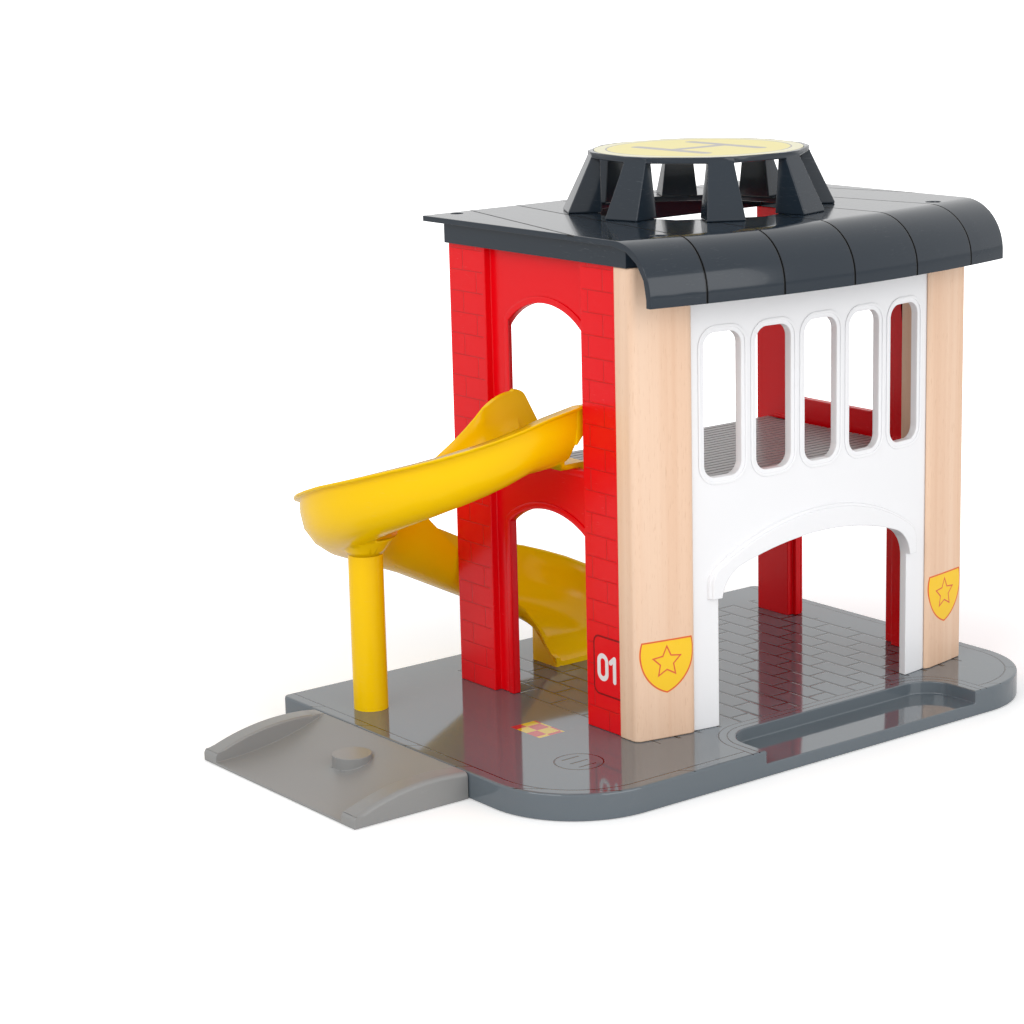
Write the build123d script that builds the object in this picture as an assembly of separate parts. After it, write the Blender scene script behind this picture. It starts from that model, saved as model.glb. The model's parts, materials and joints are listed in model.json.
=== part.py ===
"""Toy fire station with a curved front, a helipad on its roof, a dock-in ramp and a hook-on slide.

Everything is in millimetres. The part's own origin is the centre of the base plate's underside. The building is
drawn in its own coordinates: X = 0 in the middle of the front, Y = 0 at the outer front corners of the posts
with the inside towards +Y, and Z = 0 on the top of the base plate. "site" moves it onto the plate.
"""
from build123d import *
import math
import os

# Fits and general allowances
overrun = 1.0
fit_gap = 0.15
lift_gap = 0.3

# Base plate
base_width = 253.0
base_depth = 178.0
base_thickness = 10.0
base_front_radius = 38.0
base_back_radius = 3.0
base_edge_round = 1.0
base_front_margin = 38.0
base_side_margin = 15.0

# Ramp sockets in the base plate: a pocket in the front edge and a slot under the left edge
front_socket_x = -1.0
front_socket_width = 110.0
front_socket_depth = 5.0
front_socket_reach = 25.0
front_socket_radius = 13.0
left_slot_y = 66.0
left_slot_width = 92.0
left_slot_height = 5.0
left_slot_reach = 8.0
left_slot_radius = 4.0

# Curved front
front_width = 172.0
front_radius = 400.0
post_width = 26.0
post_depth = 9.6
post_round = 3.0
wall_height = 176.0

# Facade panel
facade_recess = 1.75
facade_thickness = 3.5
facade_tongue = 3.0
window_count = 5
window_width = 16.5
window_height = 53.8
window_sill = 95.7
window_pitch = 23.4
window_radius = 5.0
garage_width = 98.6
garage_height = 68.5
garage_crown_radius = 120.0
garage_shoulder_radius = 14.0
moulding_side = 5.0
moulding_top = 9.2
moulding_crown_radius = 92.0
moulding_shoulder_radius = 9.0
moulding_foot = 50.0
moulding_proud = 2.3
moulding_step = 1.0

# Side walls
side_recess = 1.0
pilaster_thickness = 9.0
panel_thickness = 3.0
panel_recess = 3.0
wall_end = 111.0
tenon_thickness = 4.0
tenon_length = 8.0
tenon_depth = 5.0
wall_tongue = 3.0
front_pilaster_end = 30.0
left_back_pilaster_start = 88.0
right_back_pilaster_start = 92.0
left_upper_end = 72.0
left_upper_sill = 97.0
left_upper_spring = 146.5
left_upper_rise = 11.0
left_lower_end = 72.0
left_lower_spring = 70.0
left_lower_rise = 8.5
right_upper_start = 42.0
right_upper_sill = 96.0
right_upper_top = 157.0
right_upper_radius = 5.0
right_lower_start = 36.0
right_lower_end = 90.0
arch_corner_radius = 5.0

# Upper floor and its ledges
floor_top = 86.5
floor_thickness = 4.0
floor_end = 104.0
floor_groove_pitch = 3.7
floor_groove_width = 1.0
floor_groove_depth = 0.8
ledge_thickness = 2.5
ledge_width = 6.0
lug_reach = 1.5
lug_length = 7.0
lug_thickness = 1.5

# Roof
roof_width = 180.0
roof_back = 120.6
roof_thickness = 2.2
skirt_height = 7.8
skirt_width = 174.0
skirt_thickness = 11.0
skirt_back_thickness = 3.0
eave_overhang = 16.0
eave_radius = 19.5
eave_drop = 3.0
eave_sweep = 40
eave_inner_steps = 4
roof_hole_radius = 44.0
screw_hole_x = 70.0
screw_hole_y = 3.0
hang_hole_x = 77.0
hang_hole_y = 115.8
hang_hole_diameter = 5.0

# Helipad
helipad_y = 61.0
helipad_height = 23.0
helipad_radius = 42.8
rim_height = 2.4
rim_inner_radius = 36.0
disc_radius = 40.6
disc_thickness = 1.6
leg_count = 8
leg_turn = 15.0
leg_inner_radius = 39.5
leg_foot_radius = 52.5
leg_top_width = 10.0
leg_foot_width = 14.6
leg_foot_height = 0.8

# Screws
screw_diameter = 3.0
screw_head_diameter = 5.6
base_screw_length = 22.0
roof_screw_length = 20.0
roof_screw_sink = 1.6

# Ramp
ramp_length = 49.4
ramp_width = 102.0
ramp_kerb_width = 8.5
ramp_kerb_end_height = 4.0
ramp_kerb_rise = 3.4
ramp_kerb_round = 2.0
ramp_tongue_gap = 0.5
ramp_toe_thickness = 1.0
ramp_road_sag = 2.4
ramp_boss_diameter = 15.0
ramp_boss_height = 2.5
ramp_boss_x = 16.0

# Slide
slide_width = 38.3
slide_wall = 2.0
slide_depth = 23.0
slide_corner_radius = 17.0
slide_corner_steps = 4
slide_lip_width = 2.2
slide_lip_height = 1.2
slide_start_gap = 1.0
slide_wall_gap = 0.5
slide_entry_drop = 1.0
slide_tip_round = 6.0
slide_tab_top_reach = 2.5
slide_tab_reach = 9.5
slide_tab_corner_height = 12.0
turn_x = -101.0
turn_inner_radius = 20.7
turn_drop = 53.0
turn_steps = 18
entry_steps = 2
entry_inner_share = 1.17
entry_outer_share = 1.1
turn_inner_shares = (0.98, 0.91, 0.86, 0.88, 0.96, 1.08, 1.22)
turn_outer_shares = (1.03, 1.05, 1.08, 1.08, 1.02, 1.0, 1.09)
run_drop = 24.6
run_steps = 4
run_inner_shares = (1.22, 0.8, 0.46, 0.18)
run_outer_shares = (1.09, 1.13, 1.15, 1.14)
exit_turn_x = -52.0
exit_inner_radius = 5.0
exit_turn_steps = 8
exit_turn_fall_share = 0.6
exit_inner_share = 0.16
exit_outer_shares = (1.14, 1.1, 1.0, 0.86)
exit_run_steps = 3
exit_end_y = 97.5
exit_end_outer_share = 0.74
exit_foot_start = 113.0
inner_corner_share = 0.85
hook_width = 22.6
hook_drop = 4.5
hook_thickness = 2.3
hook_rise = 5.0
slide_post_x = -134.0
slide_post_y = 103.5
slide_post_diameter = 13.5
slide_boss_drop = 35.5
slide_boss_flare = 6.0
slide_boss_rise = 8.0
slide_pin_diameter = 8.0
slide_pin_height = 8.0

# Worked out from the sizes above
building_x = base_width / 2 - front_width / 2 - base_side_margin
building_y = base_front_margin - base_depth / 2
front_half = front_width / 2
front_centre_y = math.sqrt(front_radius**2 - front_half**2)
base_left = -base_width / 2 - building_x
base_front = -base_depth / 2 - building_y
panel_radius = front_radius - facade_recess
wall_outer = front_half - side_recess
wall_inner = wall_outer - pilaster_thickness
panel_outer = wall_outer - panel_recess
roof_underside = wall_height + skirt_height
roof_top = roof_underside + roof_thickness
eave_outer_radius = front_radius + eave_overhang
slide_boss_z = left_upper_sill - slide_boss_drop
site = Pos(building_x, building_y, base_thickness)


def block(x0, x1, y0, y1, z0, z1):
    """A box between two corners."""
    return Pos((x0 + x1) / 2, (y0 + y1) / 2, (z0 + z1) / 2) * Box(x1 - x0, y1 - y0, z1 - z0)


def rod(x, y, z0, z1, radius):
    """An upright round bar."""
    return Pos(x, y, (z0 + z1) / 2) * Cylinder(radius, z1 - z0)


def front_drum(radius, z0, z1):
    """An upright drum about the axis that the curved front turns round."""
    return rod(0, front_centre_y, z0, z1, radius)


def front_band(outer, inner, x0, x1, z0, z1):
    """A piece of the curved front between two radii."""
    slab = block(x0, x1, front_centre_y - outer - overrun, 2 * post_depth, z0, z1)
    return (slab & front_drum(outer, z0, z1)) - front_drum(inner, z0 - overrun, z1 + overrun)


def through_front(sketch):
    """A sketch drawn in X and Z, extruded right through the curved front."""
    reach = post_depth + eave_overhang
    return extrude(Pos(0, post_depth, 0) * (Plane.XZ * sketch), amount=2 * reach)


def through_side(sketch, sign):
    """A sketch drawn in Y and Z, extruded right through the left (-1) or right (+1) side wall."""
    start = min(sign * (wall_inner - ledge_width), sign * (wall_outer + overrun))
    amount = wall_outer - wall_inner + ledge_width + overrun
    return extrude(Pos(start, 0, 0) * (Plane.YZ * sketch), amount=amount)


def crowned_opening(width, height, crown_radius, shoulder_radius, bottom):
    """An upright outline with a gently crowned top and rounded shoulders."""
    outline = Pos(0, (height + bottom) / 2) * Rectangle(width, height - bottom)
    outline &= Pos(0, height - crown_radius) * Circle(crown_radius)
    return fillet(outline.vertices().sort_by(Axis.Y)[-2:], shoulder_radius)


def arched_opening(start, end, bottom, spring, rise):
    """An opening with a low arch of one arc over straight jambs."""
    middle = (start + end) / 2
    left = Line((start, bottom), (start, spring))
    top = ThreePointArc((start, spring), (middle, spring + rise), (end, spring))
    right = Line((end, spring), (end, bottom))
    return make_face([left, top, right, Line((end, bottom), (start, bottom))])


def screw(spot, z_head, length, up, gap=0.0, sink=0.0):
    """A countersunk screw that points up (+1) or down (-1), or with a gap and a sink the hole for it."""
    x, y = spot
    head_radius = screw_head_diameter / 2 + gap
    radius = screw_diameter / 2 + gap
    z_neck = z_head + up * (head_radius - radius)
    z_tip = z_head + up * (length + gap)
    turn = Rot(0 if up > 0 else 180, 0, 0)
    shape = Pos(x, y, (z_head + z_neck) / 2) * (turn * Cone(head_radius, radius, head_radius - radius))
    shape += rod(x, y, min(z_neck, z_tip), max(z_neck, z_tip), radius)
    if sink:
        z_mouth = z_head - up * (sink + overrun)
        shape += rod(x, y, min(z_head, z_mouth), max(z_head, z_mouth), head_radius)
    return shape


pilaster_middle_x = (wall_outer + wall_inner) / 2
base_screw_spots = [(sign * (front_half - post_width / 2), post_depth / 2) for sign in (-1, 1)]
roof_screw_spots = [(sign * screw_hole_x, screw_hole_y) for sign in (-1, 1)]
roof_screw_z = roof_top - roof_screw_sink
floor_underside = floor_top - floor_thickness


def tenons(gap=0.0):
    """The pegs under the side walls' pilasters, or with a gap the mortises for them in the base plate."""
    pegs = []
    for sign in (-1, 1):
        x0, x1 = sorted((sign * (pilaster_middle_x - tenon_thickness / 2 - gap),
                         sign * (pilaster_middle_x + tenon_thickness / 2 + gap)))
        for y in ((post_depth + front_pilaster_end) / 2, (right_back_pilaster_start + wall_end) / 2):
            pegs.append(block(x0, x1, y - tenon_length / 2 - gap, y + tenon_length / 2 + gap,
                              -tenon_depth - gap, overrun))
    return pegs


def base_screw_holes():
    return [screw(spot, -base_thickness, base_screw_length, 1, fit_gap) for spot in base_screw_spots]


def roof_screw_holes():
    return [screw(spot, roof_screw_z, roof_screw_length, -1, fit_gap, roof_screw_sink)
            for spot in roof_screw_spots]


def socket_tongue(width, reach, radius, z0, z1):
    """The rounded-corner tongue of a ramp, pointing towards +Y from its mouth at Y = 0."""
    outline = Pos(0, reach / 2) * Rectangle(width, reach)
    outline = fillet(outline.vertices().sort_by(Axis.Y)[-2:], radius)
    return extrude(Pos(0, 0, z0) * outline, amount=z1 - z0)


def socket_cut(width, reach, radius, z0, z1):
    """A socket with its mouth on Y = 0, cut out past the edge of the plate."""
    return socket_tongue(width, reach, radius, z0, z1) + block(-width / 2, width / 2, -overrun, 0, z0, z1)


def make_base_plate():
    outline = Rectangle(base_width, base_depth)
    outline = fillet(outline.vertices().sort_by(Axis.Y)[:2], base_front_radius)
    outline = fillet(outline.vertices().sort_by(Axis.Y)[-2:], base_back_radius)
    plate = extrude(Pos(-building_x, -building_y, -base_thickness) * outline, amount=base_thickness)
    plate = chamfer(plate.faces().sort_by(Axis.Z)[-1].edges(), base_edge_round / 2)
    plate -= Pos(front_socket_x, base_front, 0) * socket_cut(front_socket_width, front_socket_reach,
                                                             front_socket_radius, -front_socket_depth, overrun)
    left_cut = socket_cut(left_slot_width, left_slot_reach, left_slot_radius, -base_thickness - overrun,
                          left_slot_height - base_thickness)
    plate -= Pos(base_left, left_slot_y, 0) * (Rot(0, 0, -90) * left_cut)
    return plate - base_screw_holes() - tenons(fit_gap)


def make_right_post():
    plan = Pos(front_half - post_width / 2, 0) * Rectangle(post_width, 2 * post_depth)
    plan &= Pos(0, front_centre_y) * Circle(front_radius)
    plan = fillet(plan.vertices().sort_by(Axis.Y)[:2], post_round)
    post = extrude(plan, amount=wall_height)
    post -= block(pilaster_middle_x - wall_tongue / 2 - fit_gap, pilaster_middle_x + wall_tongue / 2 + fit_gap,
                  post_depth - wall_tongue - fit_gap, post_depth + overrun, -overrun, wall_height + overrun)
    post -= front_band(panel_radius + fit_gap, panel_radius - facade_thickness - fit_gap,
                       front_half - post_width - overrun, front_half - post_width + facade_tongue + fit_gap,
                       -overrun, wall_height + overrun)
    return post - base_screw_holes() - roof_screw_holes()


def make_facade():
    panel_half = front_half - post_width + facade_tongue
    panel = front_band(panel_radius, panel_radius - facade_thickness, -panel_half, panel_half, 0, wall_height)
    opening = crowned_opening(garage_width, garage_height, garage_crown_radius, garage_shoulder_radius,
                              -overrun)
    shell = front_band(panel_radius + moulding_proud, panel_radius - fit_gap, -front_half, front_half,
                       moulding_foot, wall_height)
    edge = front_band(panel_radius + moulding_proud - moulding_step, panel_radius - fit_gap, -front_half,
                      front_half, moulding_foot, wall_height)
    wide = crowned_opening(garage_width + 2 * moulding_side, garage_height + moulding_top,
                           moulding_crown_radius, moulding_shoulder_radius, 0)
    narrow = crowned_opening(garage_width + 2 * (moulding_side - moulding_step),
                             garage_height + moulding_top - moulding_step,
                             moulding_crown_radius - moulding_step,
                             moulding_shoulder_radius - moulding_step, 0)
    panel += edge & through_front(wide)
    panel += shell & through_front(narrow)
    panel -= through_front(opening)
    for index in range(window_count):
        x = (index - (window_count - 1) / 2) * window_pitch
        hole = Pos(x, window_sill + window_height / 2) * RectangleRounded(window_width, window_height,
                                                                         window_radius)
        panel -= through_front(hole)
    return panel


def make_side_wall(sign, back_start, openings):
    """A side wall: a thin panel between two pilasters, with a tongue for the post's groove in its front edge.

    A ledge carries the upper floor and two lugs hold it down.
    """
    def slab(outer, thickness, y0, y1):
        x0, x1 = sorted((sign * outer, sign * (outer - thickness)))
        return block(x0, x1, y0, y1, 0, wall_height)

    front_pilaster = slab(wall_outer, pilaster_thickness - fit_gap, post_depth, front_pilaster_end)
    back_pilaster = slab(wall_outer, pilaster_thickness - fit_gap, back_start, wall_end)
    wall = front_pilaster + back_pilaster
    wall += slab(pilaster_middle_x + wall_tongue / 2, wall_tongue, post_depth - wall_tongue, post_depth + overrun)
    wall += slab(panel_outer, panel_thickness, front_pilaster_end - overrun, back_start + overrun)
    for outline in openings:
        wall -= through_side(outline, sign)
    x0, x1 = sorted((sign * (panel_outer - panel_thickness), sign * (wall_inner - ledge_width)))
    wall += block(x0, x1, post_depth + lift_gap, floor_end, floor_underside - ledge_thickness, floor_underside)
    x0, x1 = sorted((sign * (wall_inner - lug_reach), sign * pilaster_middle_x))
    z0 = floor_top + fit_gap
    for y in (front_pilaster_end - lug_length, back_start):
        wall += block(x0, x1, y, y + lug_length, z0, z0 + lug_thickness)
    return wall + [peg for peg in tenons() if peg.center().X * sign > 0]


def make_left_side_wall():
    upper = arched_opening(front_pilaster_end, left_upper_end, left_upper_sill, left_upper_spring,
                           left_upper_rise)
    lower = arched_opening(front_pilaster_end, left_lower_end, -overrun, left_lower_spring, left_lower_rise)
    return make_side_wall(-1, left_back_pilaster_start, [upper, lower])


def make_right_side_wall():
    upper_middle = (right_upper_start + right_back_pilaster_start) / 2
    upper = Pos(upper_middle, (right_upper_sill + right_upper_top) / 2) * RectangleRounded(
        right_back_pilaster_start - right_upper_start, right_upper_top - right_upper_sill, right_upper_radius)
    lower = arched_opening(right_lower_start, right_lower_end, -overrun, left_lower_spring, left_lower_rise)
    return make_side_wall(1, right_back_pilaster_start, [upper, lower])


def make_upper_floor():
    """The floor reaches the back of the facade, and is notched round the two posts."""
    half = wall_inner - fit_gap
    notch_x = front_half - post_width - fit_gap
    notch_y = post_depth + fit_gap
    board = block(-half, half, -post_depth, floor_end, floor_underside, floor_top)
    board &= front_drum(panel_radius - facade_thickness - fit_gap, floor_underside, floor_top)
    for sign in (-1, 1):
        x0, x1 = sorted((sign * notch_x, sign * (half + overrun)))
        board -= block(x0, x1, -post_depth, notch_y, floor_underside - overrun, floor_top + overrun)
    grooves = []
    count = int((floor_end - notch_y) / floor_groove_pitch)
    for index in range(1, count + 1):
        y = floor_end - index * floor_groove_pitch
        grooves.append(block(-half - overrun, half + overrun, y - floor_groove_width / 2,
                             y + floor_groove_width / 2, floor_top - floor_groove_depth, floor_top + overrun))
    return board - grooves


def eave_shell():
    """The rolled front eave: a quarter round with a short drop, turned about the front's axis."""
    inner_radius = eave_radius - roof_thickness
    root = eave_outer_radius - eave_radius
    centre_z = roof_top - eave_radius
    lip_z = centre_z - eave_drop
    lap = roof_thickness

    def on_arc(radius, share):
        angle = math.pi / 2 * share
        return root + radius * math.cos(angle), centre_z + radius * math.sin(angle)

    outer_arc = ThreePointArc((root, roof_top), on_arc(eave_radius, 0.5), (eave_outer_radius, centre_z))
    flats = [on_arc(inner_radius, step / eave_inner_steps) for step in range(eave_inner_steps + 1)]
    corners = [(eave_outer_radius, centre_z), (eave_outer_radius, lip_z),
               (eave_outer_radius - roof_thickness, lip_z), *flats, (root - lap, roof_underside),
               (root - lap, roof_top), (root, roof_top)]
    edges = [outer_arc] + [Line(here, there) for here, there in zip(corners, corners[1:])]
    section = Plane.XZ * make_face(edges)
    shell = Rot(0, 0, -90 - eave_sweep / 2) * revolve(section, Axis.Z, eave_sweep)
    return Pos(0, front_centre_y, 0) * shell


def make_roof():
    half = roof_width / 2
    root = eave_outer_radius - eave_radius
    slab = block(-half, half, front_centre_y - root - overrun, roof_back, roof_underside, roof_top)
    slab &= front_drum(root, roof_underside, roof_top)
    eave = eave_shell() & block(-half, half, -eave_overhang - post_depth, post_depth, wall_height - eave_radius,
                                roof_top + overrun)
    roof = slab + eave
    skirt_half = skirt_width / 2
    skirt = block(-skirt_half, skirt_half, post_depth, wall_end, wall_height, roof_underside)
    skirt -= block(-skirt_half + skirt_thickness, skirt_half - skirt_thickness, post_depth - overrun,
                   wall_end - skirt_back_thickness, wall_height - overrun, roof_underside)
    band_radius = front_radius - side_recess
    front_skirt = front_band(band_radius, band_radius - skirt_thickness, -skirt_half, skirt_half, wall_height,
                             roof_underside)
    roof += skirt + front_skirt
    octagon = Rot(0, 0, leg_turn + 180 / leg_count) * RegularPolygon(roof_hole_radius, leg_count)
    roof -= extrude(Pos(0, helipad_y, wall_height) * octagon, amount=2 * skirt_height)
    for sign in (-1, 1):
        roof -= rod(sign * hang_hole_x, hang_hole_y, wall_height, roof_top + overrun, hang_hole_diameter / 2)
    return roof - roof_screw_holes()


def make_helipad_frame():
    """A many-sided rim with a step for the disc, on eight wedge-shaped legs that lean inwards."""
    rim_top = roof_top + helipad_height
    rim_bottom = rim_top - rim_height
    corners = []
    for index in range(leg_count):
        for side in (-1, 1):
            corner = Vector(helipad_radius, side * leg_top_width / 2)
            corners.append(corner.rotate(Axis.Z, leg_turn + 360 / leg_count * index))
    outline = make_face(Polyline(*corners, close=True))
    outline -= scale(outline, rim_inner_radius / helipad_radius)
    rim = extrude(Pos(0, helipad_y, rim_bottom) * outline, amount=rim_height)
    rim -= rod(0, helipad_y, rim_top - disc_thickness, rim_top + overrun, disc_radius + fit_gap)
    side = Polyline((leg_inner_radius, roof_top), (leg_foot_radius, roof_top),
                    (leg_foot_radius, roof_top + leg_foot_height), (helipad_radius, rim_top - disc_thickness),
                    (leg_inner_radius, rim_top - disc_thickness), close=True)
    front = Polyline((-leg_foot_width / 2, roof_top), (leg_foot_width / 2, roof_top),
                     (leg_foot_width / 2, roof_top + leg_foot_height), (leg_top_width / 2, rim_bottom),
                     (leg_top_width / 2, rim_top), (-leg_top_width / 2, rim_top),
                     (-leg_top_width / 2, rim_bottom), (-leg_foot_width / 2, roof_top + leg_foot_height),
                     close=True)
    leg = extrude(Plane.XZ * make_face(side), amount=leg_foot_width, both=True)
    leg &= extrude(Plane.YZ * make_face(front), amount=leg_foot_radius + overrun)
    frame = rim
    for index in range(leg_count):
        frame += Pos(0, helipad_y, 0) * (Rot(0, 0, leg_turn + 360 / leg_count * index) * leg)
    return frame


def make_helipad_disc():
    ring_top = roof_top + helipad_height
    return rod(0, helipad_y, ring_top - disc_thickness, ring_top, disc_radius)


def make_ramp():
    """A dished road between two kerbs, with a tongue for the slot under the base and a low round stop."""
    edge = base_left - lift_gap
    toe = edge - ramp_length
    floor = -base_thickness
    half = ramp_width / 2
    y0, y1 = left_slot_y - half, left_slot_y + half

    def sagging_arc(start, end, sag):
        middle_x = (start[0] + end[0]) / 2
        middle_z = (start[1] + end[1]) / 2
        return ThreePointArc(start, (middle_x, middle_z - sag), end)

    def profile(toe_z, sag):
        top = sagging_arc((edge, 0), (toe, toe_z), sag)
        return make_face([top, Line((toe, toe_z), (toe, floor)), Line((toe, floor), (edge, floor)),
                          Line((edge, floor), (edge, 0))])

    road_face = profile(floor + ramp_toe_thickness, ramp_road_sag)
    road = extrude(Pos(0, y1, 0) * (Plane.XZ * road_face), amount=y1 - y0)
    kerb_face = profile(floor + ramp_kerb_end_height, -ramp_kerb_rise)
    kerb_face = fillet(kerb_face.vertices().sort_by(Axis.X)[:2].sort_by(Axis.Y)[-1], ramp_kerb_round)
    kerb = extrude(Pos(0, y0 + ramp_kerb_width, 0) * (Plane.XZ * kerb_face), amount=ramp_kerb_width)
    ramp = road + kerb + Pos(0, ramp_width - ramp_kerb_width, 0) * kerb
    tongue_width = left_slot_width - 2 * ramp_tongue_gap
    tongue_top = floor + left_slot_height - ramp_tongue_gap
    tongue = socket_tongue(tongue_width, left_slot_reach - ramp_tongue_gap, left_slot_radius, floor, tongue_top)
    tongue += block(-tongue_width / 2, tongue_width / 2, -lift_gap - overrun, 0, floor, tongue_top)
    ramp += Pos(base_left, left_slot_y, 0) * (Rot(0, 0, -90) * tongue)
    boss_x = edge - ramp_boss_x
    boss_top = -ramp_boss_x * base_thickness / ramp_length - ramp_road_sag / 2 + ramp_boss_height
    return ramp + rod(boss_x, left_slot_y, floor, boss_top, ramp_boss_diameter / 2)


def along_table(table, share):
    """The value at a share of the way along a table, straight between its entries."""
    place = share * (len(table) - 1)
    index = min(int(place), len(table) - 2)
    return table[index] + (table[index + 1] - table[index]) * (place - index)


def slide_stations():
    """Stations along the chute, from the wall to the exit.

    Each is the middle's X and Y, the heading in degrees, the height of the underside, and the heights of the
    inner and outer walls as shares of the depth. The chute turns to its right all the way, so the inner wall is
    on its right.
    """
    half = slide_width / 2
    turn_radius = turn_inner_radius + half
    exit_radius = exit_inner_radius + half
    run_y = wall_end + slide_wall_gap + half
    turn_y = run_y - turn_radius
    start_x = -wall_outer - slide_start_gap
    turn_z = left_upper_sill - slide_entry_drop
    run_z = turn_z - turn_drop
    exit_z = run_z - run_drop
    exit_x = exit_turn_x + exit_radius
    exit_y = run_y - exit_radius
    low_z = exit_z * (1 - exit_turn_fall_share)
    stations = []
    for step in range(entry_steps):
        share = step / entry_steps
        inner = entry_inner_share + (turn_inner_shares[0] - entry_inner_share) * share
        outer = entry_outer_share + (turn_outer_shares[0] - entry_outer_share) * share
        stations.append((start_x + (turn_x - start_x) * share, turn_y - turn_radius, 180,
                         left_upper_sill - slide_entry_drop * share, inner, outer))
    for step in range(turn_steps):
        share = step / turn_steps
        angle = math.pi * share
        stations.append((turn_x - turn_radius * math.sin(angle), turn_y - turn_radius * math.cos(angle),
                         180 - 180 * share, turn_z - turn_drop * share,
                         along_table(turn_inner_shares, share), along_table(turn_outer_shares, share)))
    for step in range(run_steps):
        share = step / run_steps
        stations.append((turn_x + (exit_turn_x - turn_x) * share, run_y, 0, run_z - run_drop * share,
                         along_table(run_inner_shares, share), along_table(run_outer_shares, share)))
    for step in range(exit_turn_steps):
        share = step / exit_turn_steps
        angle = math.pi / 2 * share
        stations.append((exit_turn_x + exit_radius * math.sin(angle), exit_y + exit_radius * math.cos(angle),
                         -90 * share, exit_z + (low_z - exit_z) * share,
                         run_inner_shares[-1] + (exit_inner_share - run_inner_shares[-1]) * share,
                         along_table(exit_outer_shares, share)))
    for step in range(exit_run_steps + 1):
        share = step / exit_run_steps
        stations.append((exit_x, exit_y + (exit_end_y - exit_y) * share, -90,
                         low_z * (1 - math.sin(math.pi / 2 * share)), exit_inner_share,
                         exit_outer_shares[-1] + (exit_end_outer_share - exit_outer_shares[-1]) * share))
    return stations


def corner_points(x, z, radius, side):
    """Points down a quarter round from a wall to the floor, or up it again when reversed."""
    steps = [math.pi / 2 * step / slide_corner_steps for step in range(slide_corner_steps + 1)]
    return [(x + side * radius * math.cos(angle), z - radius * math.sin(angle)) for angle in steps]


def station_plane(station):
    """The upright plane across the chute at a station, with its outer side towards positive."""
    x, y, heading, z = station[:4]
    angle = math.radians(heading)
    return Plane(origin=(x, y, z), x_dir=(-math.sin(angle), math.cos(angle), 0),
                 z_dir=(math.cos(angle), math.sin(angle), 0))


def chute_section(station):
    """The chute's wall across a station: round corners, a lip along the outer rim and a plain inner rim."""
    inner_top = slide_depth * station[4]
    outer_top = slide_depth * station[5]
    inner_round = min(slide_corner_radius, inner_top * inner_corner_share)
    edge = slide_width / 2
    skin_edge = edge - slide_wall
    skin_round = slide_corner_radius - slide_wall
    skin_inner_round = max(inner_round - slide_wall, slide_wall / 2)
    lip_bottom = outer_top - slide_lip_height
    points = [(skin_edge, outer_top), (edge + slide_lip_width, outer_top), (edge + slide_lip_width, lip_bottom),
              (edge, lip_bottom)]
    points += corner_points(edge - slide_corner_radius, slide_corner_radius, slide_corner_radius, 1)
    points += corner_points(-edge + inner_round, inner_round, inner_round, -1)[::-1]
    points += [(-edge, inner_top), (-skin_edge, inner_top)]
    points += corner_points(-skin_edge + skin_inner_round, slide_wall + skin_inner_round, skin_inner_round, -1)
    points += corner_points(skin_edge - skin_round, slide_wall + skin_round, skin_round, 1)[::-1]
    return [station_plane(station).from_local_coords(Vector(u, v, 0)) for u, v in points]


def channel_section(station):
    """The space inside the chute across a station, open well above its rims."""
    edge = slide_width / 2 - slide_wall
    points = corner_points(edge - slide_corner_radius, slide_wall + slide_corner_radius, slide_corner_radius, 1)
    points += corner_points(-edge + slide_corner_radius, slide_wall + slide_corner_radius, slide_corner_radius,
                            -1)[::-1]
    top = slide_depth * max(station[4:])
    points += [(-edge, top), (edge, top)]
    return [station_plane(station).from_local_coords(Vector(u, v, 0)) for u, v in points]


def skinned(sections):
    """The solid between sections of equally many points, in flat three-cornered facets."""
    faces = [Face(Wire.make_polygon(sections[0])), Face(Wire.make_polygon(sections[-1]))]
    for here, there in zip(sections, sections[1:]):
        for index, point in enumerate(here):
            before, ahead = here[index - 1], there[index - 1]
            faces.append(Face(Wire.make_polygon([before, point, there[index]])))
            faces.append(Face(Wire.make_polygon([before, there[index], ahead])))
    return Solid(Shell(faces))


def channel(stations):
    return skinned([channel_section(station) for station in stations])


def slide_tab(first):
    """The inner wall's rounded end, which reaches into the arch that the chute starts at."""
    x, y = first[:2]
    tip = left_upper_sill + slide_depth * entry_inner_share
    low = left_upper_sill + slide_wall
    outline = Polyline((x - slide_wall, low), (x + slide_tab_reach, low),
                       (x + slide_tab_reach, low + slide_tab_corner_height), (x + slide_tab_top_reach, tip),
                       (x - slide_wall, tip), close=True)
    outline = make_face(outline)
    top_corner = outline.vertices().group_by(Axis.Y)[-1].sort_by(Axis.X)[-1]
    outline = fillet(top_corner, slide_tip_round)
    return extrude(Pos(0, y + slide_width / 2, 0) * (Plane.XZ * outline), amount=slide_wall)


def slide_foot():
    """The wall that stands under the exit's inner edge, on the base plate."""
    exit_y = slide_stations()[-1 - exit_run_steps][1]
    low_z = slide_stations()[-1 - exit_run_steps][3]
    run_z = slide_stations()[-1 - exit_run_steps - exit_turn_steps][3]
    share = math.atan2(exit_inner_radius, exit_foot_start - exit_y) / (math.pi / 2)
    start_z = run_z + (low_z - run_z) * share
    rise = slide_wall / 2
    outline = Polyline((exit_foot_start, 0), (exit_foot_start, start_z + rise), (exit_y, low_z + rise),
                       (exit_end_y, rise), (exit_end_y, 0), close=True)
    return extrude(Pos(exit_turn_x + exit_inner_radius, 0, 0) * (Plane.YZ * make_face(outline)), amount=slide_wall)


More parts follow.
